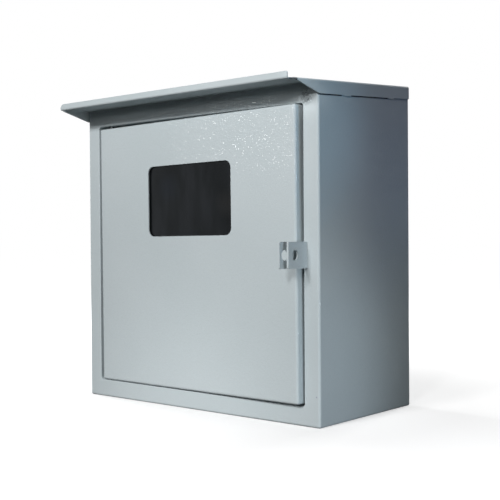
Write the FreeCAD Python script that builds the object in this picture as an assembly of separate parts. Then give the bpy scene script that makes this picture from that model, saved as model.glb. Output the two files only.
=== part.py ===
import FreeCAD, Part
import math
import os

# Wall-mounted meter box in millimetres. X to the right, Y towards the wall, Z up.
# The shapes are made with the wall at y = 0 and the underside at z = 0, and are
# lowered at the end so that the origin is the middle of the four wall holes.

V = FreeCAD.Vector
X_DIR = V(1, 0, 0)
Y_DIR = V(0, 1, 0)
Z_DIR = V(0, 0, 1)

# body
WIDTH = 400.0
DEPTH = 195.0
FRONT_HEIGHT = 397.5
SHEET = 1.5
BEND_INSIDE = 1.5
STILE = 22.0
RAIL_TOP = 23.2
RAIL_BOTTOM = 23.0
OPENING_CORNER = 4.0
OPENING_ROUND = 1.0
FLANGE_SHORT = 0.5

# back panel and its wall holes, placed from the sides, the underside and the front height
BACK_FLANGE = 12.0
BACK_CORNER = 3.0
FLANGE_END = 6.0
WALL_HOLE_R = 4.5
WALL_HOLE_SIDE = 35.0
WALL_HOLE_LOW = 40.0
WALL_HOLE_HIGH = 37.5

# rain hood
ROOF_SLOPE = 4.0
OVERHANG = 52.5
LIP_HEIGHT = 8.5
LIP_RELIEF = 5.2
LIP_ROUND_LEFT = 6.5
LIP_ROUND_RIGHT = 2.0
HOOD_BEND_INSIDE = 1.0
CHEEK_HEIGHT = 16.3
CHEEK_RELIEF = 8.0
CHEEK_SET = 1.2
CHEEK_ROUND = 14.0

# tack welds under the cheeks, one behind the front and one before the wall
WELD_R = 1.6
FRONT_WELD = 51.0
FRONT_WELD_LENGTH = 12.0
REAR_WELD = 45.0
REAR_WELD_LENGTH = 8.0

# cable knock-outs
KNOCKOUT_R = 14.5
KNOCKOUT_SLIT = 0.8
KNOCKOUT_BRIDGE = 3.0
KNOCKOUT_PITCH = 110.0
KNOCKOUT_FROM_WALL = 90.0

# door, hung a little out of square by its pivot holes as in the photograph
DOOR_GAP = 3.0
DOOR_GAP_TOP = 2.3
DOOR_GAP_BOTTOM = 1.9
DOOR_SKEW = 0.35
DOOR_DEPTH = 15.0
DOOR_BEND_INSIDE = 1.5
AJAR = 1.65

# hinge
HINGE_INSET = 14.0
HINGE_FROM_BACK = 6.0
PIN_R = 2.5
PIN_RUNNING = 0.05
PIN_FIXED = 0.1
PIN_HEAD_RIM = 2.0
PIN_HEAD = 3.0
PIN_REACH = 10.0
BRACKET_SHEET = 2.0
BRACKET_WIDTH = 29.0
BRACKET_BEYOND = 11.0
BRACKET_CLEAR = 6.0
WASHER_RIM = 2.5
WASHER_PLAY = 0.1

# padlock tabs
TAB_HEIGHT = 30.6
TAB_RAISE = 0.6
TAB_HOLE_R = 6.0
TAB_HOLE_EDGE = 12.5
TAB_ROUND = 1.5
FRAME_TAB_SHEET = 2.5
FRAME_TAB_OUT = 35.0
FRAME_TAB_SET = 2.6
DOOR_TAB_PLAY = 1.0
DOOR_TAB_SHORT = 3.0
DOOR_TAB_ROOT = 11.0

# door stop
STOP_DEPTH = 18.0
STOP_END = 32.0
STOP_MARGIN = 2.5
PAD_THICK = 2.0
PAD_WIDTH = 12.0
PAD_PLAY = 0.2
PAD_END = 4.0

# window
WINDOW_W = 149.7
WINDOW_H = 92.0
WINDOW_R = 9.5
WINDOW_SHIFT = -1.87
WINDOW_DROP = 58.04
SEAL_THICK = 1.5
SEAL_SET = 1.0
PANE_THICK = 3.0
PANE_OVERLAP = 12.0
FRAME_SHEET = 1.5
FRAME_SET = 2.0
FRAME_BORDER = 14.0
WINDOW_STUD_R = 2.0
WINDOW_STUD_PITCH = 98.0
WINDOW_NUT_FLATS = 7.0
WINDOW_NUT_THICK = 3.2
STUD_END = 2.8

# mounting plate, placed from the sides, the underside and the front height
PLATE_SIDE = 50.0
PLATE_LOW = 55.0
PLATE_HIGH = 52.5
PLATE_SHEET = 2.0
PLATE_ROUND = 8.0
PLATE_STUD_EDGE = 20.0
PLATE_STUD_R = 3.0
SPACER_RIM = 3.0
SPACER_LENGTH = 12.0
PLATE_WASHER_RIM = 3.0
PLATE_WASHER_THICK = 1.6
PLATE_NUT_FLATS = 10.0
PLATE_NUT_THICK = 5.0

# clearances of fasteners in their holes and of threads in their nuts
CLEARANCE = 0.3
THREAD_PLAY = 0.15

# rail for the breaker, placed from the plate's edges
RAIL_END = 30.0
RAIL_RAISE = 55.0
RAIL_CREST = 27.0
RAIL_FLANGE = 4.0
RAIL_DEPTH = 7.5
RAIL_SHEET = 1.0
RAIL_SCREW_END = 30.0
RAIL_SCREW_R = 2.5
RAIL_SCREW_BEYOND = 6.0
RAIL_HEAD_RIM = 2.2
RAIL_HEAD = 3.0

# earth terminal
EARTH_Z = 110.0
EARTH_R = 4.0
EARTH_BEYOND = 14.3
EARTH_WASHER_RIM = 4.0
EARTH_WASHER_THICK = 1.6
EARTH_NUT_FLATS = 13.0
EARTH_NUT_THICK = 6.5

# values that follow from those above
FRONT_Y = -DEPTH
HALF_W = WIDTH / 2
INNER_HALF = HALF_W - SHEET
TAN = math.tan(math.radians(ROOF_SLOPE))
ROOF_RISE = SHEET / math.cos(math.radians(ROOF_SLOPE))
OPEN_HALF = HALF_W - STILE
OPEN_TOP = FRONT_HEIGHT - RAIL_TOP
DOOR_HALF = OPEN_HALF - DOOR_GAP
DOOR_BOTTOM = RAIL_BOTTOM + DOOR_GAP_BOTTOM
DOOR_TOP = OPEN_TOP - DOOR_GAP_TOP
DOOR_MID = (DOOR_BOTTOM + DOOR_TOP) / 2
DOOR_BACK = FRONT_Y + DOOR_DEPTH
FLANGE_BACK = DOOR_BACK - FLANGE_SHORT
SKEW = math.tan(math.radians(DOOR_SKEW))
FRAME_BACK = FRONT_Y + SHEET
BACK_FACE = -SHEET
WALL_HOLE_DX = WIDTH - 2 * WALL_HOLE_SIDE
WALL_HOLE_DZ = FRONT_HEIGHT - WALL_HOLE_LOW - WALL_HOLE_HIGH
WALL_HOLE_MID = WALL_HOLE_LOW + WALL_HOLE_DZ / 2
LIP_HALF = HALF_W + SHEET - LIP_RELIEF
CHEEK_TIP = OVERHANG - CHEEK_RELIEF
HINGE_X = HINGE_INSET - DOOR_HALF
HINGE_GAP_TOP = DOOR_GAP_TOP - HINGE_X * SKEW
HINGE_GAP_BOTTOM = DOOR_GAP_BOTTOM + HINGE_X * SKEW
HINGE_Y = DOOR_BACK - HINGE_FROM_BACK
TAB_MID = DOOR_MID + TAB_RAISE
TAB_HOLE_OUT = FRAME_TAB_OUT - TAB_HOLE_EDGE
DOOR_TAB_SHEET = DOOR_GAP - DOOR_TAB_PLAY
STOP_FACE = DOOR_BACK + PAD_PLAY + PAD_THICK
STOP_BOTTOM = DOOR_BOTTOM + STOP_END
STOP_TOP = DOOR_TOP - STOP_END
PAD_MID = DOOR_HALF - SHEET / 2
WINDOW_Z = DOOR_TOP - WINDOW_DROP - WINDOW_H / 2
SEAL_Y = FRONT_Y + SHEET
PANE_Y = SEAL_Y + SEAL_THICK
RETAINER_Y = PANE_Y + PANE_THICK
NUT_Y = RETAINER_Y + FRAME_SHEET
FRAME_MARGIN = PANE_OVERLAP + FRAME_BORDER
STUD_MARGIN = PANE_OVERLAP + FRAME_BORDER / 2
PLATE_W = WIDTH - 2 * PLATE_SIDE
PLATE_H = FRONT_HEIGHT - PLATE_LOW - PLATE_HIGH
PLATE_MID = PLATE_LOW + PLATE_H / 2
PLATE_BACK = BACK_FACE - SPACER_LENGTH
PLATE_FRONT = PLATE_BACK - PLATE_SHEET
PLATE_STUD_LENGTH = SPACER_LENGTH + PLATE_SHEET + PLATE_WASHER_THICK + PLATE_NUT_THICK + STUD_END
RAIL_LENGTH = PLATE_W - 2 * RAIL_END
RAIL_Z = PLATE_LOW + RAIL_RAISE
EARTH_X = HALF_W - (PLATE_SIDE + SHEET) / 2
EARTH_PAIR = EARTH_WASHER_THICK + EARTH_NUT_THICK


def roof_under(y):
    """Height of the roof sheet's underside at y."""
    return FRONT_HEIGHT + (y - FRONT_Y) * TAN


def roof_over(y):
    """Height of the roof sheet's upper face at y."""
    return roof_under(y) + ROOF_RISE


def block(x0, x1, y0, y1, z0, z1):
    """Box between two corners."""
    return Part.makeBox(x1 - x0, y1 - y0, z1 - z0, V(x0, y0, z0))


def prism_yz(points, x0, x1):
    """Outline given as (y, z), drawn out from x0 to x1."""
    corners = [V(x0, y, z) for y, z in points]
    wire = Part.makePolygon(corners + corners[:1])
    return Part.Face(wire).extrude(V(x1 - x0, 0, 0))


def prism_xz(points, y0, y1):
    """Outline given as (x, z), drawn out from y0 to y1."""
    corners = [V(x, y0, z) for x, z in points]
    wire = Part.makePolygon(corners + corners[:1])
    return Part.Face(wire).extrude(V(0, y1 - y0, 0))


def prism_xy(points, z0, z1):
    """Outline given as (x, y), drawn out from z0 to z1."""
    corners = [V(x, y, z0) for x, y in points]
    wire = Part.makePolygon(corners + corners[:1])
    return Part.Face(wire).extrude(V(0, 0, z1 - z0))


def rounded(shape, radius, wanted):
    """Rounds the edges whose middle point and direction are wanted."""
    chosen = []
    for edge in shape.Edges:
        if edge.Degenerated:
            continue
        first, last = edge.ParameterRange
        middle = edge.valueAt((first + last) / 2)
        along = edge.tangentAt((first + last) / 2)
        if wanted(middle, along):
            chosen.append(edge)
    return shape.makeFillet(radius, chosen)


def near(a, b):
    return abs(a - b) < 0.01


def along_y(direction):
    return abs(direction.y) > 0.9


def rounded_plate(cx, cz, width, height, radius, y0, y1):
    """Plate in the XZ plane with four round corners."""
    plate = block(cx - width / 2, cx + width / 2, y0, y1, cz - height / 2, cz + height / 2)
    return rounded(plate, radius, lambda p, d: along_y(d))


def tube(radius, hole, length, base, direction):
    """Ring or washer standing on its base point."""
    outer = Part.makeCylinder(radius, length, base, direction)
    return outer.cut(Part.makeCylinder(hole, length, base, direction))


def hex_nut(flats, hole, thick, base):
    """Hexagon nut whose far face is at the base and which stands out along -Y."""
    radius = flats / math.sqrt(3)
    turns = [math.radians(60 * i) for i in range(6)]
    points = [(base.x + radius * math.cos(t), base.z + radius * math.sin(t)) for t in turns]
    nut = prism_xz(points, base.y - thick, base.y)
    return nut.cut(Part.makeCylinder(hole, thick, base, -Y_DIR))


def group(solids):
    """Separate solids kept together in one node."""
    return Part.makeCompound(solids)


def corners(cx, cz, dx, dz, y):
    """Four points of a rectangle at depth y."""
    return [V(cx + sx * dx / 2, y, cz + sz * dz / 2) for sx in (-1, 1) for sz in (-1, 1)]


def sheet_bend(p, inset):
    """True for the middle of a folded outside edge of the body, moved in by inset."""
    front = near(p.y, FRONT_Y + inset)
    bottom = near(p.z, inset)
    side = near(abs(p.x), HALF_W - inset)
    return [front, bottom, side].count(True) == 2


def knockout(x):
    """Slit around one cable knock-out, broken by two bridges."""
    y = -KNOCKOUT_FROM_WALL
    base = V(x, y, 0)
    slit = tube(KNOCKOUT_R, KNOCKOUT_R - KNOCKOUT_SLIT, SHEET, base, Z_DIR)
    half = KNOCKOUT_BRIDGE / 2
    reach = KNOCKOUT_R + SHEET
    return slit.cut(block(x - half, x + half, y - reach, y + reach, 0, SHEET))


def opening_block(wider, y0, y1):
    """Block that fills the opening between two depths, with the opening's rounded corners."""
    half = OPEN_HALF + wider
    filled = block(-half, half, y0, y1, RAIL_BOTTOM - wider, OPEN_TOP + wider)
    return rounded(filled, OPENING_CORNER + wider, lambda p, d: along_y(d))


def opening_rim():
    """Rim drawn back from the opening's edge, with holes for the hinge pins."""
    rim = opening_block(SHEET, FRONT_Y + SHEET, FLANGE_BACK)
    rim = rim.cut(opening_block(0, FRONT_Y, FLANGE_BACK + SHEET))
    for base in (RAIL_BOTTOM - SHEET, OPEN_TOP):
        rim = rim.cut(Part.makeCylinder(PIN_R + PIN_FIXED, SHEET, V(HINGE_X, HINGE_Y, base), Z_DIR))
    return rim


def in_opening(p):
    """True for a point no farther out than the opening's own edge."""
    return abs(p.x) < OPEN_HALF + SHEET and RAIL_BOTTOM - SHEET < p.z < OPEN_TOP + SHEET


def body_shell():
    outline = [(FRONT_Y, 0), (0, 0), (0, roof_under(0)), (FRONT_Y, FRONT_HEIGHT)]
    shell = prism_yz(outline, -HALF_W, HALF_W)
    shell = rounded(shell, BEND_INSIDE + SHEET, lambda p, d: sheet_bend(p, 0))
    inner = block(-INNER_HALF, INNER_HALF, FRAME_BACK, DEPTH, SHEET, 2 * FRONT_HEIGHT)
    shell = shell.cut(rounded(inner, BEND_INSIDE, lambda p, d: sheet_bend(p, SHEET)))
    shell = shell.cut(opening_block(0, FRONT_Y - SHEET, FRAME_BACK + SHEET))
    shell = shell.fuse(opening_rim()).removeSplitter()
    shell = rounded(shell, min(OPENING_ROUND, SHEET), lambda p, d: near(p.y, FRONT_Y) and in_opening(p))
    for i in (-1, 0, 1):
        shell = shell.cut(knockout(i * KNOCKOUT_PITCH))
    return shell


def over_roof():
    """Everything above the roof sheet's underside."""
    low = FRONT_Y - DEPTH
    points = [(low, roof_under(low)), (DEPTH, roof_under(DEPTH))]
    points += [(DEPTH, 2 * FRONT_HEIGHT), (low, 2 * FRONT_HEIGHT)]
    return prism_yz(points, -WIDTH, WIDTH)


def back_panel():
    half = INNER_HALF
    top = FRONT_HEIGHT + DEPTH
    cut = BACK_CORNER
    points = [(cut - half, SHEET), (half - cut, SHEET), (half, SHEET + cut)]
    points += [(half, top), (-half, top), (-half, SHEET + cut)]
    panel = prism_xz(points, BACK_FACE, 0)
    reach = BACK_FACE - BACK_FLANGE
    end = half - FLANGE_END
    panel = panel.fuse(block(-end, end, reach, BACK_FACE, SHEET, 2 * SHEET))
    for side in (-1, 1):
        x0, x1 = sorted((side * half, side * (half - SHEET)))
        panel = panel.fuse(block(x0, x1, reach, BACK_FACE, SHEET + FLANGE_END, top))
    panel = panel.removeSplitter().cut(over_roof())
    for p in corners(0, WALL_HOLE_MID, WALL_HOLE_DX, WALL_HOLE_DZ, 0):
        panel = panel.cut(Part.makeCylinder(WALL_HOLE_R, SHEET, p, -Y_DIR))
    return panel


def cheek(side):
    """Side of the hood, lapped over the outside of the body."""
    tip = FRONT_Y - CHEEK_TIP
    low = FRONT_Y + CHEEK_SET
    points = [(tip, roof_under(tip)), (tip, roof_over(tip)), (0, roof_over(0))]
    points += [(0, roof_over(0) - CHEEK_HEIGHT), (low, roof_over(low) - CHEEK_HEIGHT)]
    x0, x1 = sorted((side * HALF_W, side * (HALF_W + SHEET)))
    leaf = prism_yz(points, x0, x1)
    return rounded(leaf, CHEEK_ROUND, lambda p, d: near(p.y, low) and abs(d.x) > 0.9)


def rain_hood():
    edge = FRONT_Y - OVERHANG
    tip = FRONT_Y - CHEEK_TIP
    half = HALF_W + SHEET
    lip_top = roof_under(edge) + LIP_HEIGHT
    back = edge + SHEET
    points = [(0, roof_under(0)), (edge, roof_under(edge)), (edge, lip_top)]
    points += [(back, lip_top), (back, roof_over(back)), (0, roof_over(0))]
    hood = prism_yz(points, -half, half)
    bend = HOOD_BEND_INSIDE + SHEET
    hood = rounded(hood, bend, lambda p, d: near(p.y, edge) and near(p.z, roof_under(edge)))
    hood = rounded(hood, HOOD_BEND_INSIDE, lambda p, d: near(p.y, back) and near(p.z, roof_over(back)))
    for side in (-1, 1):
        x0, x1 = sorted((side * LIP_HALF, side * WIDTH))
        hood = hood.cut(block(x0, x1, edge - SHEET, tip, 0, 2 * FRONT_HEIGHT))
    most = LIP_HEIGHT - SHEET - HOOD_BEND_INSIDE / 2
    for side, radius in ((-1, min(LIP_ROUND_LEFT, most)), (1, min(LIP_ROUND_RIGHT, most))):
        x = side * LIP_HALF
        hood = rounded(hood, radius, lambda p, d: near(p.x, x) and near(p.z, lip_top) and along_y(d))
    hood = hood.fuse([cheek(-1), cheek(1)]).removeSplitter()
    return rounded(hood, bend,
                   lambda p, d: near(abs(p.x), half) and near(p.z, roof_over(p.y)) and along_y(d))


def weld_bead(side, start, length):
    """Bead along a cheek's lower edge, in the corner with the body's side."""
    y = FRONT_Y + start
    z = roof_over(y) - CHEEK_HEIGHT
    axis = V(0, 1, TAN)
    axis.normalize()
    base = V(side * HALF_W, y, z)
    bead = Part.makeCylinder(WELD_R, length, base, axis)
    bead = bead.fuse([Part.makeSphere(WELD_R, base), Part.makeSphere(WELD_R, base + axis * length)])
    bead = bead.removeSplitter()
    x0, x1 = sorted((side * HALF_W, side * (HALF_W - WIDTH)))
    bead = bead.cut(block(x0, x1, FRONT_Y, 0, 0, 2 * FRONT_HEIGHT))
    return bead.cut(cheek(side))


def hood_welds():
    welds = ((FRONT_WELD, FRONT_WELD_LENGTH), (DEPTH - REAR_WELD, REAR_WELD_LENGTH))
    return group([weld_bead(side, start, length) for side in (-1, 1) for start, length in welds])


def tab(x0, x1, y0, y1, mid):
    """Padlock eye standing out of the front, with its two free corners rounded."""
    plate = block(x0, x1, y0, y1, mid - TAB_HEIGHT / 2, mid + TAB_HEIGHT / 2)
    plate = rounded(plate, TAB_ROUND, lambda p, d: near(p.y, y0) and abs(d.x) > 0.9)
    centre = V(x0, FRONT_Y - TAB_HOLE_OUT, mid)
    return plate.cut(Part.makeCylinder(TAB_HOLE_R, x1 - x0, centre, X_DIR))


def frame_tab():
    inner = OPEN_HALF + FRAME_TAB_SET
    return tab(inner, inner + FRAME_TAB_SHEET, FRONT_Y - FRAME_TAB_OUT, FRONT_Y, TAB_MID)


def door_tab():
    """Second eye, set lower on the door by what the skew raises it there."""
    out = FRAME_TAB_OUT - DOOR_TAB_SHORT
    mid = TAB_MID - DOOR_HALF * SKEW
    return tab(DOOR_HALF, DOOR_HALF + DOOR_TAB_SHEET, FRONT_Y - out, FRONT_Y + DOOR_TAB_ROOT, mid)


def hinge_bracket(level, up, rail):
    """Angle on the rim; level is its face on the rim, up its direction away from the door."""
    deep = HINGE_Y + BRACKET_BEYOND
    x0 = HINGE_X - BRACKET_WIDTH / 2
    x1 = HINGE_X + BRACKET_WIDTH / 2
    shelf = sorted((level, level + up * BRACKET_SHEET))
    post = sorted((level, level + up * (rail - SHEET - BRACKET_CLEAR)))
    bracket = block(x0, x1, FRAME_BACK, deep, shelf[0], shelf[1])
    bracket = bracket.fuse(block(x0, x1, FRAME_BACK, FRAME_BACK + BRACKET_SHEET, post[0], post[1]))
    hole = Part.makeCylinder(PIN_R + PIN_FIXED, BRACKET_SHEET, V(HINGE_X, HINGE_Y, shelf[0]), Z_DIR)
    return bracket.removeSplitter().cut(hole)


def hinge_pin(level, up, gap):
    """Headed pin through a bracket, the rim and the door's return."""
    base = V(HINGE_X, HINGE_Y, level + up * BRACKET_SHEET)
    shank = BRACKET_SHEET + SHEET + gap + SHEET + PIN_REACH
    pin = Part.makeCylinder(PIN_R, shank, base, -Z_DIR * up)
    return pin.fuse(Part.makeCylinder(PIN_R + PIN_HEAD_RIM, PIN_HEAD, base, Z_DIR * up)).removeSplitter()


def hinge_washer():
    """Washer on the rim's lower side that carries the door."""
    base = V(HINGE_X, HINGE_Y, RAIL_BOTTOM)
    return tube(PIN_R + WASHER_RIM, PIN_R + PIN_FIXED, HINGE_GAP_BOTTOM - WASHER_PLAY, base, Z_DIR)


def door_stop():
    wall = INNER_HALF
    face = STOP_FACE
    reach = PAD_MID - PAD_WIDTH / 2 - STOP_MARGIN
    stop = block(reach, wall, face, face + SHEET, STOP_BOTTOM, STOP_TOP)
    leg = block(wall - SHEET, wall, face, face + STOP_DEPTH, STOP_BOTTOM, STOP_TOP)
    stop = stop.fuse(leg).removeSplitter()
    return rounded(stop, BEND_INSIDE,
                   lambda p, d: near(p.x, wall - SHEET) and near(p.y, face + SHEET) and abs(d.z) > 0.9)


def stop_pad():
    half = PAD_WIDTH / 2
    return block(PAD_MID - half, PAD_MID + half, STOP_FACE - PAD_THICK, STOP_FACE,
                 STOP_BOTTOM + PAD_END, STOP_TOP - PAD_END)


def door_panel():
    back = DOOR_BACK
    panel = block(-DOOR_HALF, DOOR_HALF, FRONT_Y, back, DOOR_BOTTOM, DOOR_TOP)
    panel = rounded(panel, DOOR_BEND_INSIDE + SHEET, lambda p, d: not near(p.y, back))
    inner = block(SHEET - DOOR_HALF, DOOR_HALF - SHEET, FRONT_Y + SHEET, back + SHEET,
                  DOOR_BOTTOM + SHEET, DOOR_TOP - SHEET)
    inner = rounded(inner, DOOR_BEND_INSIDE, lambda p, d: not near(p.y, back + SHEET))
    panel = panel.cut(inner)
    panel = panel.cut(rounded_plate(WINDOW_SHIFT, WINDOW_Z, WINDOW_W, WINDOW_H, WINDOW_R,
                                    FRONT_Y - SHEET, FRONT_Y + 2 * SHEET))
    return panel


def window_ring(margin, clear, y, thick):
    """Flat frame around the window, from clear outside its edge to margin outside it."""
    ring = rounded_plate(WINDOW_SHIFT, WINDOW_Z, WINDOW_W + 2 * margin, WINDOW_H + 2 * margin,
                         WINDOW_R, y, y + thick)
    hole = rounded_plate(WINDOW_SHIFT, WINDOW_Z, WINDOW_W + 2 * clear, WINDOW_H + 2 * clear,
                         WINDOW_R + clear, y, y + thick)
    return ring.cut(hole)


def window_stud_points(y):
    """Places of the window's studs: two on each long side and one in each short side."""
    dx = WINDOW_W / 2 + STUD_MARGIN
    dz = WINDOW_H / 2 + STUD_MARGIN
    places = [(-dx, 0), (dx, 0)]
    places += [(sx * WINDOW_STUD_PITCH / 2, sz * dz) for sx in (-1, 1) for sz in (-1, 1)]
    return [V(WINDOW_SHIFT + px, y, WINDOW_Z + pz) for px, pz in places]


def window_seal():
    return window_ring(PANE_OVERLAP, SEAL_SET, SEAL_Y, SEAL_THICK)


def window_pane():
    return rounded_plate(WINDOW_SHIFT, WINDOW_Z, WINDOW_W + 2 * PANE_OVERLAP, WINDOW_H + 2 * PANE_OVERLAP,
                         WINDOW_R, PANE_Y, RETAINER_Y)


def window_frame():
    ring = window_ring(FRAME_MARGIN, FRAME_SET, RETAINER_Y, FRAME_SHEET)
    for p in window_stud_points(RETAINER_Y):
        ring = ring.cut(Part.makeCylinder(WINDOW_STUD_R + CLEARANCE, FRAME_SHEET, p, Y_DIR))
    return ring


def window_studs():
    length = SEAL_THICK + PANE_THICK + FRAME_SHEET + WINDOW_NUT_THICK + STUD_END
    return group([Part.makeCylinder(WINDOW_STUD_R, length, p, Y_DIR)
                  for p in window_stud_points(SEAL_Y)])


def window_nuts():
    hole = WINDOW_STUD_R + THREAD_PLAY
    return group([hex_nut(WINDOW_NUT_FLATS, hole, WINDOW_NUT_THICK, p)
                  for p in window_stud_points(NUT_Y + WINDOW_NUT_THICK)])


def plate_points(y):
    return corners(0, PLATE_MID, PLATE_W - 2 * PLATE_STUD_EDGE, PLATE_H - 2 * PLATE_STUD_EDGE, y)


def rail_points(y):
    return [V(s * (RAIL_LENGTH / 2 - RAIL_SCREW_END), y, RAIL_Z) for s in (-1, 1)]


def mounting_plate():
    plate = rounded_plate(0, PLATE_MID, PLATE_W, PLATE_H, PLATE_ROUND, PLATE_FRONT, PLATE_BACK)
    for p in plate_points(PLATE_BACK):
        plate = plate.cut(Part.makeCylinder(PLATE_STUD_R + CLEARANCE, PLATE_SHEET, p, -Y_DIR))
    for p in rail_points(PLATE_BACK):
        plate = plate.cut(Part.makeCylinder(RAIL_SCREW_R + THREAD_PLAY, PLATE_SHEET, p, -Y_DIR))
    return plate


def plate_studs():
    return group([Part.makeCylinder(PLATE_STUD_R, PLATE_STUD_LENGTH, p, -Y_DIR)
                  for p in plate_points(BACK_FACE)])


def plate_spacers():
    return group([tube(PLATE_STUD_R + SPACER_RIM, PLATE_STUD_R + CLEARANCE, SPACER_LENGTH, p, -Y_DIR)
                  for p in plate_points(BACK_FACE)])


def plate_washers():
    rim = PLATE_STUD_R + PLATE_WASHER_RIM
    hole = PLATE_STUD_R + CLEARANCE
    return group([tube(rim, hole, PLATE_WASHER_THICK, p, -Y_DIR)
                  for p in plate_points(PLATE_FRONT)])


def plate_nuts():
    hole = PLATE_STUD_R + THREAD_PLAY
    return group([hex_nut(PLATE_NUT_FLATS, hole, PLATE_NUT_THICK, p)
                  for p in plate_points(PLATE_FRONT - PLATE_WASHER_THICK)])


def din_rail():
    crest = RAIL_CREST / 2
    outer = crest + RAIL_FLANGE
    back = PLATE_FRONT
    front = back - RAIL_DEPTH
    thin = RAIL_SHEET
    points = [(front, -outer), (front, thin - crest), (back - thin, thin - crest)]
    points += [(back - thin, crest - thin), (front, crest - thin), (front, outer)]
    points += [(front + thin, outer), (front + thin, crest), (back, crest)]
    points += [(back, -crest), (front + thin, -crest), (front + thin, -outer)]
    rail = prism_yz([(y, z + RAIL_Z) for y, z in points], -RAIL_LENGTH / 2, RAIL_LENGTH / 2)
    for p in rail_points(back):
        rail = rail.cut(Part.makeCylinder(RAIL_SCREW_R + CLEARANCE, RAIL_SHEET, p, -Y_DIR))
    return rail


def rail_screws():
    screws = []
    for p in rail_points(PLATE_FRONT - RAIL_SHEET):
        shank = Part.makeCylinder(RAIL_SCREW_R, RAIL_SHEET + PLATE_SHEET + RAIL_SCREW_BEYOND, p, Y_DIR)
        head = Part.makeCylinder(RAIL_SCREW_R + RAIL_HEAD_RIM, RAIL_HEAD, p, -Y_DIR)
        screws.append(shank.fuse(head).removeSplitter())
    return group(screws)


def earth_stud():
    length = 2 * EARTH_PAIR + EARTH_BEYOND
    return Part.makeCylinder(EARTH_R, length, V(EARTH_X, BACK_FACE, EARTH_Z), -Y_DIR)


def earth_levels():
    """Faces where the lower and upper washer and nut pairs begin."""
    return [BACK_FACE, BACK_FACE - EARTH_PAIR]


def earth_washers():
    rim = EARTH_R + EARTH_WASHER_RIM
    hole = EARTH_R + CLEARANCE
    return group([tube(rim, hole, EARTH_WASHER_THICK, V(EARTH_X, y, EARTH_Z), -Y_DIR)
                  for y in earth_levels()])


def earth_nuts():
    return group([hex_nut(EARTH_NUT_FLATS, EARTH_R + THREAD_PLAY, EARTH_NUT_THICK,
                          V(EARTH_X, y - EARTH_WASHER_THICK, EARTH_Z)) for y in earth_levels()])


def hung(shape):
    """Turns a door piece in its own plane by the door's skew."""
    shape.rotate(V(0, FRONT_Y, DOOR_MID), Y_DIR, -DOOR_SKEW)
    return shape


def drilled(panel):
    """Pivot holes through the hung door's two returns, in line with the pins."""
    return panel.cut(Part.makeCylinder(PIN_R + PIN_RUNNING, FRONT_HEIGHT, V(HINGE_X, HINGE_Y, 0), Z_DIR))


def swung(shape):
    """Turns a door piece from closed to its resting place, a little ajar."""
    shape.rotate(V(HINGE_X, HINGE_Y, 0), Z_DIR, -AJAR)
    return shape


BODY = {
    "body_shell": body_shell(),
    "back_panel": back_panel(),
    "rain_hood": rain_hood(),
    "hood_welds": hood_welds(),
    "frame_tab": frame_tab(),
    "upper_hinge_bracket": hinge_bracket(OPEN_TOP + SHEET, 1, RAIL_TOP),
    "lower_hinge_bracket": hinge_bracket(RAIL_BOTTOM - SHEET, -1, RAIL_BOTTOM),
    "upper_hinge_pin": hinge_pin(OPEN_TOP + SHEET, 1, HINGE_GAP_TOP),
    "lower_hinge_pin": hinge_pin(RAIL_BOTTOM - SHEET, -1, HINGE_GAP_BOTTOM),
    "hinge_washer": hinge_washer(),
    "door_stop": door_stop(),
    "stop_pad": stop_pad(),
    "mounting_plate": mounting_plate(),
    "plate_studs": plate_studs(),
    "plate_spacers": plate_spacers(),
    "plate_washers": plate_washers(),
    "plate_nuts": plate_nuts(),
    "din_rail": din_rail(),
    "rail_screws": rail_screws(),
    "earth_stud": earth_stud(),
    "earth_washers": earth_washers(),
    "earth_nuts": earth_nuts(),
}

DOOR = {
    "door_panel": drilled(hung(door_panel())),
    "door_tab": hung(door_tab()),
    "window_seal": hung(window_seal()),
    "window_pane": hung(window_pane()),
    "window_frame": hung(window_frame()),
    "window_studs": hung(window_studs()),
    "window_nuts": hung(window_nuts()),
}

os.makedirs("parts", exist_ok=True)
PIECES = dict(BODY)
for name, shape in DOOR.items():
    PIECES[name] = swung(shape)
for name, shape in PIECES.items():
    shape.translate(V(0, 0, -WALL_HOLE_MID))
    shape.exportStep("parts/" + name + ".step")
    print(name, len(shape.Solids), shape.isValid(), round(shape.Volume, 1))
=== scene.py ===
import math
from functools import cached_property

import bpy
from mathutils import Matrix, Vector


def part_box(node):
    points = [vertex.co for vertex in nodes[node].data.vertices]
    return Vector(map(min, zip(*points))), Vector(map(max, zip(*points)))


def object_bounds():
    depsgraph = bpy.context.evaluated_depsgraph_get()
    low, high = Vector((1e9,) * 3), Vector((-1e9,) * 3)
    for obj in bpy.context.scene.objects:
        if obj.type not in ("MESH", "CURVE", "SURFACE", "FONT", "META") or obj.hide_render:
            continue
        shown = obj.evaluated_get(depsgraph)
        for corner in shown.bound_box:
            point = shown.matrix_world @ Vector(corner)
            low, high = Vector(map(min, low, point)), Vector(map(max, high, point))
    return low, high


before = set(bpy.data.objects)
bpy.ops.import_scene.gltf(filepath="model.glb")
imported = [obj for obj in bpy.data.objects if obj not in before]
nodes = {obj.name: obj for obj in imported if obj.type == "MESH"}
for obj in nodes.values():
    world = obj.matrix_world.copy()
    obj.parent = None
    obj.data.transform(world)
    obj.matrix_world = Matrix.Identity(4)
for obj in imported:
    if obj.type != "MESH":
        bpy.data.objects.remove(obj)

cad_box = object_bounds()
scene = bpy.context.scene
scene.view_settings.view_transform = "Standard"


# places on the box, in metres, taken from the CAD nodes' corners

(_, FRONT, UNDERSIDE), (RIGHT, _, _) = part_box("body_shell")
(_, LIP_FRONT, _), (HOOD_RIGHT, _, _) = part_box("rain_hood")

CHIP = (RIGHT - 0.0048, FRONT, UNDERSIDE + 0.0359)
CHIP_INNER, CHIP_OUTER = 0.0004, 0.0013

# painted shade: a darker spot on the hood's thin front edge at its right end, standing in for the shade
# on that edge
HOOD_EDGE_SHADE = (HOOD_RIGHT - 0.0025, LIP_FRONT + 0.008, 0.195)
HOOD_EDGE_SHADE_INNER, HOOD_EDGE_SHADE_OUTER = 0.0045, 0.006

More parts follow.
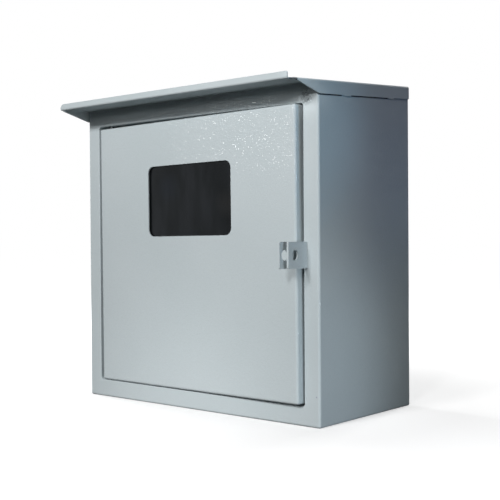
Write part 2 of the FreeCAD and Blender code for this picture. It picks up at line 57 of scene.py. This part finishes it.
CORNER_WELD = (RIGHT - 0.0165, FRONT, 0.181)
WELD_INNER, WELD_OUTER = 0.004, 0.0115

# painted shadow under the hood's cheek, where it stands off the side: a dark sloped line, in two
# stretches along Y
CHEEK_SHADOW_SLOPE = math.tan(math.radians(4.0))
CHEEK_SHADOW_FRONT_LEVEL = 0.1827
CHEEK_SHADOW_WIDTH = 0.0019
CHEEK_SHADOW_FADE = 0.001
CHEEK_SHADOW_END_FADE = 0.004
CHEEK_SHADOW_SIDE = (RIGHT - 0.0015, RIGHT - 0.0005)
CHEEK_SHADOW_STRETCHES = ((-0.199, -0.146), (-0.131, -0.046))


# materials

class Net:
    """A node tree with short ways to add and join nodes."""

    def __init__(self, tree):
        self.tree = tree

    @cached_property
    def coord(self):
        """Object coordinates, which are metres in the shared frame."""
        return self.add("ShaderNodeTexCoord").outputs["Object"]

    def add(self, kind, **values):
        """Adds a node and sets its properties."""
        node = self.tree.nodes.new(kind)
        for key, value in values.items():
            setattr(node, key, value)
        return node

    def feed(self, socket, value):
        """Joins another socket to a socket, or sets it to a plain value."""
        if isinstance(value, bpy.types.NodeSocket):
            self.tree.links.new(value, socket)
        else:
            socket.default_value = value

    def put(self, node, **values):
        """Feeds a node's sockets by name, with underscores for spaces."""
        for key, value in values.items():
            self.feed(node.inputs[key.replace("_", " ")], value)

    def noise(self, scale, detail=2.0, rough=0.5, source=None):
        node = self.add("ShaderNodeTexNoise")
        self.put(node, Vector=source or self.coord, Scale=scale, Detail=detail, Roughness=rough)
        return node.outputs["Fac"]

    def cells(self, scale):
        """Voronoi cells, as a node's outputs."""
        node = self.add("ShaderNodeTexVoronoi", feature="F1")
        self.put(node, Vector=self.coord, Scale=scale)
        return node.outputs

    def remap(self, source, old, new):
        """Takes one range of values to another, clamped at its ends."""
        node = self.add("ShaderNodeMapRange")
        for socket, value in zip(node.inputs, (source, *old, *new)):
            self.feed(socket, value)
        return node.outputs["Result"]

    def math(self, operation, a, b=0.0):
        node = self.add("ShaderNodeMath", operation=operation)
        self.feed(node.inputs[0], a)
        self.feed(node.inputs[1], b)
        return node.outputs["Value"]

    def product(self, first, *others):
        """All the values multiplied."""
        for other in others:
            first = self.math("MULTIPLY", first, other)
        return first

    def vector(self, operation, *values):
        """Vector maths, as the node's outputs."""
        node = self.add("ShaderNodeVectorMath", operation=operation)
        for socket, value in zip(node.inputs, values):
            self.feed(socket, value)
        return node.outputs

    def axes(self, vector):
        """A vector's parts, as outputs named X, Y and Z."""
        node = self.add("ShaderNodeSeparateXYZ")
        self.put(node, Vector=vector)
        return node.outputs

    def ramp(self, source, stops):
        """Colours at places from 0 to 1."""
        node = self.add("ShaderNodeValToRGB")
        self.put(node, Fac=source)
        band = node.color_ramp
        while len(band.elements) < len(stops):
            band.elements.new(0.5)
        for element, (place, colour) in zip(band.elements, stops):
            element.position = place
            element.color = (*colour, 1.0)
        return node.outputs["Color"]

    def mix(self, share, under, over):
        """Mixes two colours; share is how much of the second one shows."""
        node = self.add("ShaderNodeMix", data_type="RGBA")
        colours = [s for s in node.inputs if s.type == "RGBA"]
        self.feed(node.inputs[0], share)
        for socket, colour in zip(colours, (under, over)):
            self.feed(socket, (*colour, 1.0) if isinstance(colour, tuple) else colour)
        return next(s for s in node.outputs if s.type == "RGBA")

    def bump(self, height, strength, distance, normal=None):
        """Bumps on a surface, or on bumps that it has already."""
        node = self.add("ShaderNodeBump")
        self.put(node, Height=height, Strength=strength, Distance=distance)
        if normal is not None:
            self.put(node, Normal=normal)
        return node.outputs["Normal"]

    def away(self, point):
        """Distance from a point."""
        return self.vector("DISTANCE", self.coord, point)["Value"]

    def near(self, point, inner, outer):
        """1 within inner metres of a point, falling to 0 at outer."""
        return self.remap(self.away(point), (inner, outer), (1.0, 0.0))


class Paint(Net):
    """A node material with a Principled shader."""

    def __init__(self, name):
        self.material = bpy.data.materials.new(name)
        self.material.use_nodes = True
        super().__init__(self.material.node_tree)
        self.shader = self.tree.nodes["Principled BSDF"]

    def set(self, **values):
        """Feeds the shader's sockets by name."""
        self.put(self.shader, **values)


def srgb(r, g, b):
    """Picture colour, 0 to 255, as the linear colour that shaders take."""
    def linear(v):
        v /= 255
        return v / 12.92 if v <= 0.04045 else ((v + 0.055) / 1.055) ** 2.4
    return (linear(r), linear(g), linear(b))


# the middle of a noise's values, which is what ramps and remaps spread out
MIDDLE = (0.3, 0.7)


def tones(dark, light, span=MIDDLE):
    """Ramp stops for a colour that wanders between two tones."""
    return tuple(zip(span, (dark, light)))


COAT_DARK, COAT_LIGHT = srgb(186, 196, 199), srgb(192, 201, 204)
COAT_ROUGHNESS = (0.42, 0.58)
CHIP_TINT = srgb(150, 156, 172)
# painted shade for the hood's right front edge
HOOD_EDGE_SHADE_TINT = srgb(95, 103, 108)
# painted shadow under the hood's cheek
CHEEK_SHADOW_TINT = srgb(34, 40, 48)
# painted shade for the hollows of the weld at the frame's corner
PIT_SHADE_TINT = srgb(96, 104, 108)
# painted shade in the weld's pits: noise values where a pit begins and where it is darkest, and how dark
# it gets
PIT_SHADE_SPAN = (0.5, 0.4)
PIT_SHADE_SHARE = 0.7

FLAKES_PER_METRE = 980.0
FLAKE_LEAN = 0.11
FLAKE_ROUGHNESS = 0.08
# a flake shows where its own random value, 0 to 1, is over these
FLAKE_CHANCE = (0.74, 0.76)
# how far down a face looks, as the Z of its normal, where it is dry and where it has its full gloss
DRY_FACING = (-0.9, -0.6)


def cheek_shadow_line(net, start, end):
    """1 on the painted shadow line on the right side, just under the hood's cheek."""
    place = net.axes(net.coord)
    lowest = CHEEK_SHADOW_FRONT_LEVEL - FRONT * CHEEK_SHADOW_SLOPE - CHEEK_SHADOW_WIDTH
    level = net.math("SUBTRACT", place["Z"], net.math("MULTIPLY", place["Y"], CHEEK_SHADOW_SLOPE))
    line = net.remap(level, (lowest, lowest + CHEEK_SHADOW_FADE), (0.0, 1.0))
    side = net.remap(place["X"], CHEEK_SHADOW_SIDE, (0.0, 1.0))
    after_start = net.remap(place["Y"], (start, start + CHEEK_SHADOW_END_FADE), (0.0, 1.0))
    before_end = net.remap(place["Y"], (end - CHEEK_SHADOW_END_FADE, end), (1.0, 0.0))
    return net.product(line, side, after_start, before_end)


def flakes_in_coat(net, normal, amount):
    """Small flat mirrors, each leaning its own way, in the shader's clear coat."""
    flake = net.cells(scale=FLAKES_PER_METRE)
    chance = net.add("ShaderNodeTexWhiteNoise", noise_dimensions="3D")
    net.put(chance, Vector=flake["Position"])
    tilt = net.vector("SUBTRACT", flake["Color"], (0.5, 0.5, 0.5))["Vector"]
    lean = net.vector("MULTIPLY", tilt, (FLAKE_LEAN, FLAKE_LEAN, FLAKE_LEAN))["Vector"]
    leaning = net.vector("ADD", normal, lean)["Vector"]
    net.set(Coat_Weight=net.remap(chance.outputs["Value"], FLAKE_CHANCE, (0.0, amount)),
            Coat_Roughness=FLAKE_ROUGHNESS,
            Coat_Normal=net.vector("NORMALIZE", leaning)["Vector"])


def powder_coat(name, marks_and_shade=(), cheek_shadows=(), welds=(), flakes=0.65, gloss=0.13, dry_below=False):
    """Light grey textured powder coat on folded sheet."""
    net = Paint(name)
    colour = net.ramp(net.noise(scale=5.0, detail=3.0), tones(COAT_DARK, COAT_LIGHT))
    # tinted spots: a real paint chip, and painted shade on the hood's front edge
    for point, inner, outer, tint in marks_and_shade:
        colour = net.mix(net.near(point, inner, outer), colour, tint)
    # painted shadow lines under the hood's cheek
    for start, end in cheek_shadows:
        colour = net.mix(cheek_shadow_line(net, start, end), colour, CHEEK_SHADOW_TINT)
    grain = net.noise(scale=650.0, rough=0.6)
    normal = net.bump(net.noise(scale=9.0, detail=1.0), strength=0.25, distance=0.004)
    normal = net.bump(net.noise(scale=230.0, detail=1.0), strength=0.2, distance=0.0006, normal=normal)
    normal = net.bump(grain, strength=0.35, distance=0.0004, normal=normal)
    for point, inner, outer in welds:
        lumps = net.noise(scale=330.0, detail=3.0, rough=0.7)
        patch = net.near(point, inner, outer)
        normal = net.bump(lumps, strength=patch, distance=0.006, normal=normal)
        # painted shade: the weld's hollows, where its bumps are low, are darkened
        shaded_pits = net.math("MULTIPLY", net.remap(lumps, PIT_SHADE_SPAN, (0.0, PIT_SHADE_SHARE)), patch)
        colour = net.mix(shaded_pits, colour, PIT_SHADE_TINT)
    plain = net.add("ShaderNodeNewGeometry").outputs["Normal"]
    flakes_in_coat(net, plain, flakes)
    if dry_below:
        gloss = net.remap(net.axes(plain)["Z"], DRY_FACING, (0.0, gloss))
    net.set(Base_Color=colour, Roughness=net.remap(grain, MIDDLE, COAT_ROUGHNESS), Normal=normal,
            Specular_IOR_Level=gloss)
    return net.material


RIDGE_SWING = 0.5


def threaded(net, normal, pitch):
    """Adds rounded thread ridges at a pitch along Y; no pitch means no thread."""
    if not pitch:
        return normal
    turn = net.math("MULTIPLY", net.axes(net.coord)["Y"], 2 * math.pi / pitch)
    ridges = net.math("MULTIPLY", net.math("SINE", turn), RIDGE_SWING)
    return net.bump(ridges, strength=0.8, distance=pitch / 2, normal=normal)


ZINC_DARK, ZINC_LIGHT = srgb(150, 154, 158), srgb(196, 200, 203)
DULL_DARK, DULL_LIGHT = srgb(82, 86, 88), srgb(108, 112, 114)
ZINC_SPAN = (0.15, 0.65)
ZINC_ROUGHNESS = (0.34, 0.46)
SPANGLE_SHARE, SPECKLE_SHARE = 0.18, 0.6


def zinc(name, pitch=0.0, dark=ZINC_DARK, light=ZINC_LIGHT):
    """Zinc-plated steel with faint spangle."""
    net = Paint(name)
    spangle = net.add("ShaderNodeSeparateColor")
    net.put(spangle, Color=net.cells(scale=70.0)["Color"])
    tone = net.math("ADD", net.math("MULTIPLY", spangle.outputs["Red"], SPANGLE_SHARE),
                    net.math("MULTIPLY", net.noise(scale=240.0, detail=3.0), SPECKLE_SHARE))
    normal = net.bump(net.noise(scale=500.0), strength=0.1, distance=0.0003)
    net.set(Base_Color=net.ramp(tone, tones(dark, light, ZINC_SPAN)), Metallic=1.0,
            Roughness=net.remap(tone, ZINC_SPAN, ZINC_ROUGHNESS), Normal=threaded(net, normal, pitch))
    return net.material


BRASS_DARK, BRASS_LIGHT = srgb(158, 128, 70), srgb(206, 172, 100)
BRASS_ROUGHNESS = (0.42, 0.26)


def brass(name, pitch=0.0):
    """Plain brass with a little tarnish."""
    net = Paint(name)
    tarnish = net.noise(scale=90.0, detail=3.0)
    normal = net.bump(net.noise(scale=600.0), strength=0.1, distance=0.0002)
    net.set(Base_Color=net.ramp(tarnish, tones(BRASS_DARK, BRASS_LIGHT)), Metallic=1.0,
            Roughness=net.remap(tarnish, MIDDLE, BRASS_ROUGHNESS), Normal=threaded(net, normal, pitch))
    return net.material


SEAL_DARK, SEAL_LIGHT = srgb(56, 62, 64), srgb(66, 72, 74)
PAD_DARK, PAD_LIGHT = srgb(24, 24, 25), srgb(38, 38, 39)
PORE_SPAN = (0.0, 0.6)
RUBBER_ROUGHNESS = (0.95, 0.75)


def rubber(name, dark, light):
    """Matt foam rubber."""
    net = Paint(name)
    pores = net.cells(scale=900.0)["Distance"]
    net.set(Base_Color=net.ramp(net.noise(scale=60.0, detail=3.0), tones(dark, light)),
            Roughness=net.remap(pores, PORE_SPAN, RUBBER_ROUGHNESS),
            Normal=net.bump(pores, strength=0.4, distance=0.0004))
    return net.material


NYLON_DARK, NYLON_LIGHT = srgb(30, 30, 31), srgb(46, 46, 48)
NYLON_ROUGHNESS = (0.45, 0.6)


def nylon(name):
    """Black nylon."""
    net = Paint(name)
    grain = net.noise(scale=700.0)
    net.set(Base_Color=net.ramp(net.noise(scale=80.0), tones(NYLON_DARK, NYLON_LIGHT)),
            Roughness=net.remap(grain, MIDDLE, NYLON_ROUGHNESS),
            Normal=net.bump(grain, strength=0.2, distance=0.0002))
    return net.material


SMOKE_DARK, SMOKE_LIGHT = (0.006, 0.007, 0.008), (0.014, 0.016, 0.018)
SMOKE_SPAN = (0.35, 0.65)
SMOKE_ROUGHNESS = (0.03, 0.07)
SMOKE_IOR = 1.3
SMOKE_CLEAR = 0.6
# painted reflections: tints for the pane's reflections, in bands that run up and down, and two painted
# reflection patches, one blue and one pale
REFLECTION_BAND_STOPS = ((0.3, (0.34, 0.4, 0.44)), (0.52, (0.5, 0.58, 0.64)), (0.7, (0.72, 0.8, 0.92)))
BAND_STRETCH = (1.0, 1.0, 0.3)
BLUE_REFLECTION, BLUE_REFLECTION_INNER, BLUE_REFLECTION_OUTER = (-0.042, -0.188, 0.085), 0.004, 0.024
BLUE_REFLECTION_TINT = (0.62, 0.76, 1.0)
PALE_REFLECTION, PALE_REFLECTION_INNER, PALE_REFLECTION_OUTER = (0.062, -0.19, 0.062), 0.002, 0.022
PALE_REFLECTION_TINT = (1.0, 1.0, 1.0)


def smoked(name):
    """Smoked clear pane; its reflections get painted tints, in bands and two patches."""
    net = Paint(name)
    band = net.add("ShaderNodeMapping")
    net.put(band, Vector=net.coord, Scale=BAND_STRETCH)
    haze_and_reflection_bands = net.noise(scale=34.0, detail=3.0, rough=0.55, source=band.outputs["Vector"])
    # painted reflection: bands and two fixed patches tint what the pane reflects
    tint = net.ramp(haze_and_reflection_bands, REFLECTION_BAND_STOPS)
    tint = net.mix(net.near(BLUE_REFLECTION, BLUE_REFLECTION_INNER, BLUE_REFLECTION_OUTER), tint, BLUE_REFLECTION_TINT)
    tint = net.mix(net.near(PALE_REFLECTION, PALE_REFLECTION_INNER, PALE_REFLECTION_OUTER), tint, PALE_REFLECTION_TINT)
    net.set(Base_Color=net.ramp(haze_and_reflection_bands, tones(SMOKE_DARK, SMOKE_LIGHT, SMOKE_SPAN)), Specular_Tint=tint,
            Roughness=net.remap(net.noise(scale=300.0), MIDDLE, SMOKE_ROUGHNESS), IOR=SMOKE_IOR,
            Transmission_Weight=SMOKE_CLEAR,
            Normal=net.bump(net.noise(scale=14.0, detail=1.0), strength=0.05, distance=0.002))
    return net.material


# each CAD node's look; the nodes not named here have the plain powder coat

coat = powder_coat("powder_coat")
looks = {
    "body_shell": powder_coat("body_powder_coat", marks_and_shade=[(CHIP, CHIP_INNER, CHIP_OUTER, CHIP_TINT)],
                              # the body gets the painted shadow line under the hood's cheek
                              cheek_shadows=CHEEK_SHADOW_STRETCHES, welds=[(CORNER_WELD, WELD_INNER, WELD_OUTER)],
                              flakes=0.4, gloss=0.05),
    # the hood gets a spot of painted shade on its right front edge
    "rain_hood": powder_coat("hood_powder_coat", marks_and_shade=[(HOOD_EDGE_SHADE, HOOD_EDGE_SHADE_INNER, HOOD_EDGE_SHADE_OUTER, HOOD_EDGE_SHADE_TINT)],
                             flakes=0.12, dry_below=True),
    "window_pane": smoked("smoked_pane"),
    "window_seal": rubber("seal_rubber", SEAL_DARK, SEAL_LIGHT),
    "stop_pad": rubber("pad_rubber", PAD_DARK, PAD_LIGHT),
    "hinge_washer": nylon("washer_nylon"),
    "plate_studs": zinc("zinc_thread_six", pitch=0.001),
    "window_studs": zinc("zinc_thread_four", pitch=0.0007),
    "rail_screws": zinc("zinc_thread_five", pitch=0.0008),
    "earth_stud": brass("brass_thread", pitch=0.00125),
    "earth_nuts": brass("brass_plain"),
    "earth_washers": brass("brass_washer"),
}
plain_steel = ("mounting_plate", "din_rail", "plate_spacers", "plate_washers", "plate_nuts",
               "window_nuts", "window_frame")
looks.update(dict.fromkeys(plain_steel, zinc("zinc_plate")))
hinge_pins = ("upper_hinge_pin", "lower_hinge_pin")
looks.update(dict.fromkeys(hinge_pins, zinc("zinc_dull", dark=DULL_DARK, light=DULL_LIGHT)))

for name, piece in nodes.items():
    material = looks.get(name, coat)
    if not piece.data.materials:
        piece.data.materials.append(material)
    for place in piece.material_slots:
        place.material = material


# floor and world: white to the camera and in reflections, dim as a source of light

BLACK, WHITE = (0.0, 0.0, 0.0), (1.0, 1.0, 1.0)
FLOOR_HALF = 40.0
FLOOR_GRAIN = 40.0
FLOOR_DARK, FLOOR_LIGHT = (0.5, 0.5, 0.5), (0.55, 0.55, 0.55)
FLOOR_UNSEEN = (0.03, 0.03, 0.03)
# the floor's own glow: dimmer near the box, where the shadow falls, and white further off
GLOW_MIDDLE_Y = -0.1
GLOW_REACH = (0.3, 0.85)
GLOW_LEVELS = (0.54, 1.0)


def seen(net):
    """1 for camera, glossy and transmitted rays, 0 for the others."""
    path = net.add("ShaderNodeLightPath").outputs
    direct = net.math("MAXIMUM", path["Is Camera Ray"], path["Is Glossy Ray"])
    return net.math("MAXIMUM", direct, path["Is Transmission Ray"])


def floor_white(level):
    """Matt floor material with a glow, so that only the shadow tells it from the background."""
    material = bpy.data.materials.new("floor_white")
    material.use_nodes = True
    net = Net(material.node_tree)
    net.tree.nodes.clear()
    grain = net.add("ShaderNodeTexNoise")
    net.put(grain, Scale=FLOOR_GRAIN)
    tone = net.ramp(grain.outputs["Fac"], tones(FLOOR_DARK, FLOOR_LIGHT, (0.0, 1.0)))
    matt = net.add("ShaderNodeBsdfDiffuse")
    net.put(matt, Color=net.mix(seen(net), FLOOR_UNSEEN, tone))
    glow = net.add("ShaderNodeEmission")
    net.put(glow, Color=net.remap(net.away((0.0, GLOW_MIDDLE_Y, level)), GLOW_REACH, GLOW_LEVELS),
            Strength=seen(net))
    both = net.add("ShaderNodeAddShader")
    net.feed(both.inputs[0], matt.outputs["BSDF"])
    net.feed(both.inputs[1], glow.outputs["Emission"])
    net.put(net.add("ShaderNodeOutputMaterial"), Surface=both.outputs["Shader"])
    return material


def white_floor(level):
    """Wide level floor under the box."""
    mesh = bpy.data.meshes.new("floor")
    around = ((-1, -1), (1, -1), (1, 1), (-1, 1))
    mesh.from_pydata([(x * FLOOR_HALF, y * FLOOR_HALF, level) for x, y in around], [], [(0, 1, 2, 3)])
    floor = bpy.data.objects.new("floor", mesh)
    scene.collection.objects.link(floor)
    mesh.materials.append(floor_white(level))


def white_world():
    """World that is white where it is seen, and lights nothing."""
    world = bpy.data.worlds.new("studio")
    scene.world = world
    world.use_nodes = True
    net = Net(world.node_tree)
    net.tree.nodes.clear()
    back = net.add("ShaderNodeBackground")
    net.put(back, Color=net.mix(seen(net), BLACK, WHITE))
    net.put(net.add("ShaderNodeOutputWorld"), Surface=back.outputs["Background"])


# lamps: places and aims in metres, power in watts, cones in degrees

def stand(name, lamp, place, aim):
    """Puts a lamp at a place and turns it to its aim."""
    thing = bpy.data.objects.new(name, lamp)
    scene.collection.objects.link(thing)
    thing.location = place
    thing.rotation_euler = (Vector(aim) - Vector(place)).to_track_quat("-Z", "Y").to_euler()


def softbox(name, place, aim, power, side):
    """Square white soft light."""
    lamp = bpy.data.lights.new(name, "AREA")
    lamp.shape = "SQUARE"
    lamp.size = side
    lamp.energy = power
    stand(name, lamp, place, aim)


def spot(name, place, aim, power, cone, radius, colour=WHITE):
    """Spotlight that fades from its middle to the edge of its cone."""
    lamp = bpy.data.lights.new(name, "SPOT")
    lamp.energy = power
    lamp.spot_size = math.radians(cone)
    lamp.spot_blend = 1.0
    lamp.shadow_soft_size = radius
    lamp.color = colour
    stand(name, lamp, place, aim)


white_floor(cad_box[0][2])
white_world()

# the front: two keys from above, a fill, and a spot for the door's lower part
DOOR_MIDDLE = (0.0, -0.2, 0.0)
softbox("key", place=(0.05, -1.7, 0.79), aim=DOOR_MIDDLE, power=15.4, side=0.25)
softbox("right_key", place=(0.75, -1.7, 0.79), aim=DOOR_MIDDLE, power=11.0, side=0.25)
softbox("fill", place=(0.3, -1.6, 0.45), aim=DOOR_MIDDLE, power=2.5, side=0.4)
spot("low_front", place=(-0.1, -1.7, 0.1), aim=(0.0, -0.2, -0.27), power=31.9, cone=19.0, radius=0.1)

# the right side, bluer and darker towards the back, and the door's free edge
spot("side_low", place=(1.0, -0.24, -0.1), aim=(0.2, -0.24, -0.15),
     power=9.8, cone=34.0, radius=0.05, colour=(0.81, 0.91, 1.0))
spot("side_high", place=(1.0, -0.1, 0.15), aim=(0.2, -0.255, 0.16),
     power=5.5, cone=26.0, radius=0.04, colour=(0.37, 0.72, 1.0))
spot("door_edge", place=(1.0, -0.26, 0.1), aim=(0.165, -0.22, 0.08),
     power=1.6, cone=24.0, radius=0.04, colour=(1.0, 0.97, 0.92))
spot("side_back", place=(1.1, 0.02, -0.06), aim=(0.2, -0.05, -0.09),
     power=1.5, cone=30.0, radius=0.08, colour=(0.6, 0.85, 1.0))
spot("side_blue", place=(1.1, 0.02, 0.2), aim=(0.2, -0.04, 0.12),
     power=2.0, cone=24.0, radius=0.08, colour=(0.1, 0.35, 1.0))

# the sides that the photograph doesn't show
softbox("back", place=(0.0, 1.7, 0.7), aim=(0.0, 0.0, 0.0), power=22.0, side=0.4)
softbox("left", place=(-1.7, 0.1, 0.6), aim=(-0.2, -0.1, 0.0), power=20.0, side=0.4)

# the weld at the frame's corner, and the glints of the flakes in the coat
spot("corner", place=(0.7, -1.195, 0.44), aim=(0.186, -0.195, 0.181), power=20.0, cone=2.4, radius=0.012)
spot("left_glints", place=(-1.32, -1.6, 0.41), aim=(0.04, -0.2, 0.15), power=2.2, cone=12.0, radius=0.046)
spot("right_glints", place=(-1.02, -1.6, 0.36), aim=(0.15, -0.2, 0.15), power=1.7, cone=9.0, radius=0.046)


# camera, fitted to the straight edges of the photograph: degrees, metres and pixels

AZIMUTH, ELEVATION, ROLL = 40.4491, 0.7757, -0.4075
EYE = (0.84582, -1.07378, 0.01999)
FOCAL_PIXELS = 955.517
PHOTO_PIXELS = 500
SENSOR_MM = 36.0
CLIP_END = 200.0


def camera():
    """Camera at EYE that looks along the fitted angles."""
    azimuth, elevation, roll = (math.radians(v) for v in (AZIMUTH, ELEVATION, ROLL))
    level = math.cos(elevation)
    back = Vector((math.sin(azimuth) * level, -math.cos(azimuth) * level, math.sin(elevation)))
    right = (-back).cross(Vector((0, 0, 1))).normalized()
    up = right.cross(-back)
    rolled_right = right * math.cos(roll) + up * math.sin(roll)
    rolled_up = up * math.cos(roll) - right * math.sin(roll)
    data = bpy.data.cameras.new("camera")
    data.sensor_fit = "HORIZONTAL"
    data.sensor_width = SENSOR_MM
    data.lens = FOCAL_PIXELS / PHOTO_PIXELS * SENSOR_MM
    data.clip_end = CLIP_END
    thing = bpy.data.objects.new("camera", data)
    scene.collection.objects.link(thing)
    turn = Matrix((rolled_right, rolled_up, back)).transposed().to_4x4()
    thing.matrix_world = Matrix.Translation(Vector(EYE)) @ turn
    scene.camera = thing


camera()
